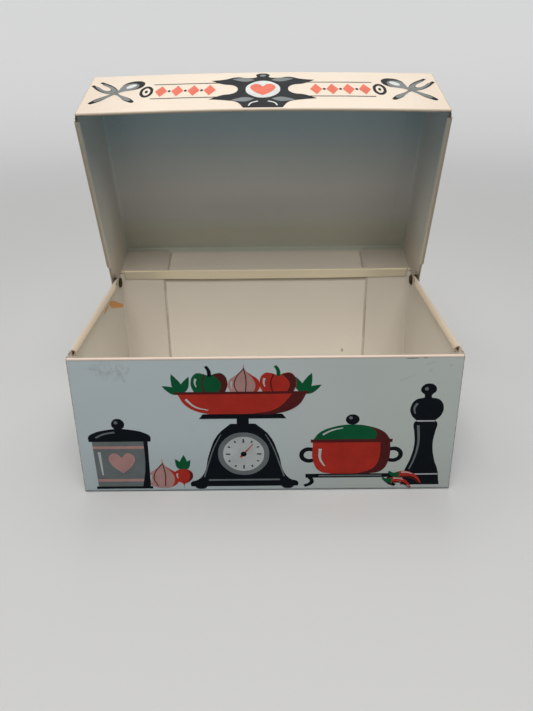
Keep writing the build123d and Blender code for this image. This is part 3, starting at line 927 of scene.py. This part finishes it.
def sprig(press):
    """Three leaves on one stalk."""
    for turn, length in ((62, 7.5), (20, 9), (-24, 8)):
        press.ink("green", 1, leaf(0, 0, length, turn))


def print_front():
    """Kitchen things along the front: canister, scale, casserole and mill."""
    press = Press()
    floor_line = 1.6
    centre = -8.5               # of the kitchen scale
    pan = 43.2                  # height of what lies in its pan
    press.move(-54.5, floor_line)
    canister(press)
    press.move(-39.4, floor_line + 0.2, 0.92, lift=2)
    onion(press)
    press.move(-31.6, floor_line + 1.6, 0.72, lift=4)
    radish(press)
    press.move(centre - 22.0, pan)
    sprig(press)
    press.move(centre + 22.0, pan, flip=-1)
    sprig(press)
    press.move(centre - 11.6, pan)
    bell_pepper(press, "green")
    press.move(centre + 0.8, pan - 0.6, 0.88)
    onion(press)
    press.move(centre + 13.0, pan)
    bell_pepper(press, "red")
    press.move(centre, floor_line, lift=2)
    kitchen_scale(press)
    press.move(31.8, floor_line)
    casserole(press)
    press.move(58.6, floor_line)
    pepper_mill(press)
    press.move(49.6, floor_line + 5.2, 0.9, lift=3)
    chilli(press)
    press.move(47.0, floor_line + 2.6, 0.8, lift=6)
    chilli(press)
    finish_front(press)


# ---------------------------------------------------------------- motifs on the lid
def spoon_and_fork(press):
    """A crossed spoon and fork."""
    spoon = symmetric((0, 15.5), (3.6, 13), (4.2, 8.6), (1.5, 3.6), (0.9, -1), (1.3, -11),
                      (0, -13.6))
    fork = symmetric((0, 4.0), (1.2, 5.4), (1.5, 14.5, corner), (2.9, 14.5, corner), (3.6, 6.5),
                     (2.6, 2.0), (0.9, -0.6), (1.3, -11), (0, -13.6))
    press.ink("black", 1, placed(fork, turn=-42, size=1.05))
    press.ink("grey", 2, placed(fork, turn=-42, size=0.86))
    press.ink("black", 3, placed(spoon, turn=42, size=1.05))
    press.ink("grey", 4, placed(spoon, turn=42, size=0.84))
    press.ink("white", 5, placed(oval(0, 9.4, 1.5, 2.8), turn=42))


def ornament(press):
    """Scrolled plaque in the middle of the lid's front."""
    press.ink("black", 1, symmetric((0, 35.6), (2.8, 34.2), (2.6, 31.6), (6.2, 30.8), (11, 31.8),
                                    (16, 29.4), (21.5, 28.4, corner), (16.4, 24.4), (12, 23),
                                    (10.2, 19), (12, 15), (16.4, 13.4), (21.5, 9.6, corner),
                                    (15, 8.4), (10.6, 6.8), (7.6, 1.2, corner)))
    for side in (-1, 1):
        press.ink("grey", 2, leaf(side * 3.4, 28.4, 9.5, -side * 82, 0.42))
        press.ink("grey", 2, leaf(side * 3.4, 9.6, 9.5, -side * 98, 0.42))
        press.ink("white", 2, stroke([(side * 2.0, 7.2), (side * 4.6, 5.6), (side * 5.6, 3.0)],
                                     0.9, 0.5))
    press.ink("white", 2, symmetric((0, 27.6), (5.2, 24.6), (7.0, 19), (5.2, 13.4), (0, 10.4)))
    press.ink("coral", 3, symmetric((0, 21.6, corner), (2.4, 24.2), (5.0, 22.0), (4.2, 17.6),
                                    (0, 12.6, corner)))
    press.ink("grey", 2, oval(0, 33.2, 1.3, 1.1))


def diamond_row(press):
    """A row of coral diamonds and black beads between two rules."""
    middle = 18.85
    half_gap = 6.75             # from the middle of the row to each rule
    rule = 0.7
    press.ink("black", 1, bar(15, middle + half_gap, 45, middle + half_gap + rule))
    press.ink("black", 1, bar(15, middle - half_gap - rule, 45, middle - half_gap))
    first = 21.6
    spacing = 6.6
    for step in range(4):
        at = first + spacing * step
        press.ink("coral", 1, [(at, middle + 5.35, corner), (at + 2.5, middle, corner),
                               (at, middle - 5.35, corner), (at - 2.5, middle, corner)])
    for step in range(3):
        press.ink("black", 1, oval(first + spacing * (step + 0.5), middle, 0.6, 1.0))
    end = 47.4
    press.ink("black", 1, oval(end, middle, 2.7, 5.6), oval(end, middle, 1.5, 3.6))
    press.ink("black", 1, oval(end, middle, 0.6, 1.4))


def print_lid():
    """Cutlery at the ends, a plaque in the middle and a row of diamonds between."""
    press = Press()
    press.move(0, 0, lift=1)
    ornament(press)
    for side in (-1, 1):
        press.move(0, 0, flip=side)
        diamond_row(press)
        press.move(side * 60.2, 18.6, 0.92, flip=side)
        spoon_and_fork(press)
    finish_lid(press)


# ---------------------------------------------------------------- studio
film_height = 24                # millimetres
paper_seen = (0.70, 0.71, 0.72)
paper_to_box = (0.17, 0.20, 0.23)       # as the paper lights the box
floor_radius = 1.3
wall_height = 1.1
cove = 0.6                      # radius of the curve from the floor to the wall


def make_camera():
    """The camera stands in front of the box and looks down into it."""
    bpy.ops.object.camera_add(location=camera_place)
    camera = bpy.context.object
    camera.name = "camera"
    turn = Matrix.Rotation(radians(camera_turn), 3, "Z")
    tip = Matrix.Rotation(radians(90 - camera_down), 3, "X")
    tilt = Matrix.Rotation(radians(camera_tilt), 3, "Z")
    camera.rotation_euler = (turn @ tip @ tilt).to_euler()
    lens = camera.data
    lens.sensor_fit = "VERTICAL"
    lens.sensor_height = film_height
    lens.lens = film_height * focal_pixels / picture_height
    lens.shift_y = (horizon_centre - picture_height / 2) / picture_height
    lens.clip_start = 0.01
    bpy.context.scene.camera = camera


def backdrop_paper():
    """Pale paper. It shows its own pale colour, and throws little light back."""
    finish = Finish("backdrop_paper", 1.0, specular=0.0)
    path = finish.nodes.new("ShaderNodeLightPath")
    seen = finish.either(path.outputs["Is Camera Ray"], path.outputs["Is Glossy Ray"],
                         path.outputs["Is Transmission Ray"])
    finish.colour(finish.blend(seen, paper_to_box, paper_seen))
    x, y, _ = finish.axes()
    away = finish.math("SQRT", finish.math("MULTIPLY_ADD", x, x, finish.math("MULTIPLY", y, y)))
    glow = finish.both(seen, finish.rise(away, 0.25, 1.3, 0.0, 0.45))
    finish.feed(finish.shader.inputs["Emission Color"], (1.0, 1.0, 1.0))
    finish.feed(finish.shader.inputs["Emission Strength"], glow)
    return finish.material


def make_backdrop():
    """A round floor whose edge curves up into a wall, the same from every side."""
    bpy.ops.object.select_all(action="DESELECT")
    bpy.ops.mesh.primitive_circle_add(vertices=64, radius=floor_radius, fill_type="NGON")
    backdrop = bpy.context.object
    backdrop.name = "backdrop"
    bpy.ops.object.mode_set(mode="EDIT")
    bpy.ops.mesh.select_all(action="SELECT")
    bpy.ops.mesh.region_to_loop()
    bpy.ops.mesh.extrude_edges_move(TRANSFORM_OT_translate={"value": (0, 0, wall_height)})
    bpy.ops.object.mode_set(mode="OBJECT")
    round_up = backdrop.modifiers.new("cove", "BEVEL")
    round_up.width = cove
    round_up.segments = 12
    round_up.limit_method = "ANGLE"
    bpy.ops.object.modifier_apply(modifier="cove")
    bpy.ops.object.shade_smooth()
    backdrop.data.materials.append(backdrop_paper())


lamp_colour = (1.0, 0.965, 0.915)
lamp_size = 0.6
lamp_distance = 0.95            # from the middle of the open box
open_middle = Vector((0, 0, 0.06))
sky_colour = (0.80, 0.91, 1.0, 1)
sky_strength = 0.13
softboxes = {                   # height and heading in degrees, then power in watts
    "front_softbox": (63, 0, 5.9),
    "rear_softbox": (60, 180, 2.4),
    "left_softbox": (60, -90, 1.0),
    "right_softbox": (60, 90, 0.6),
}


def make_lamps():
    """Four softboxes above the box, and a faint cool sky."""
    for name, (height, heading, power) in softboxes.items():
        out = Vector((cos(radians(height)) * sin(radians(heading)),
                      -cos(radians(height)) * cos(radians(heading)), sin(radians(height))))
        bpy.ops.object.light_add(type="AREA", location=open_middle + lamp_distance * out)
        lamp = bpy.context.object
        lamp.name = name
        lamp.rotation_euler = out.to_track_quat("Z", "Y").to_euler()
        lamp.data.size = lamp_size
        lamp.data.energy = power
        lamp.data.color = lamp_colour
    world = bpy.context.scene.world or bpy.data.worlds.new("world")
    bpy.context.scene.world = world
    world.use_nodes = True
    sky = world.node_tree.nodes["Background"]
    sky.inputs["Color"].default_value = sky_colour
    sky.inputs["Strength"].default_value = sky_strength


finish_nodes()
print_front()
print_lid()
make_backdrop()
make_lamps()
make_camera()
bpy.context.scene.view_settings.view_transform = "Standard"
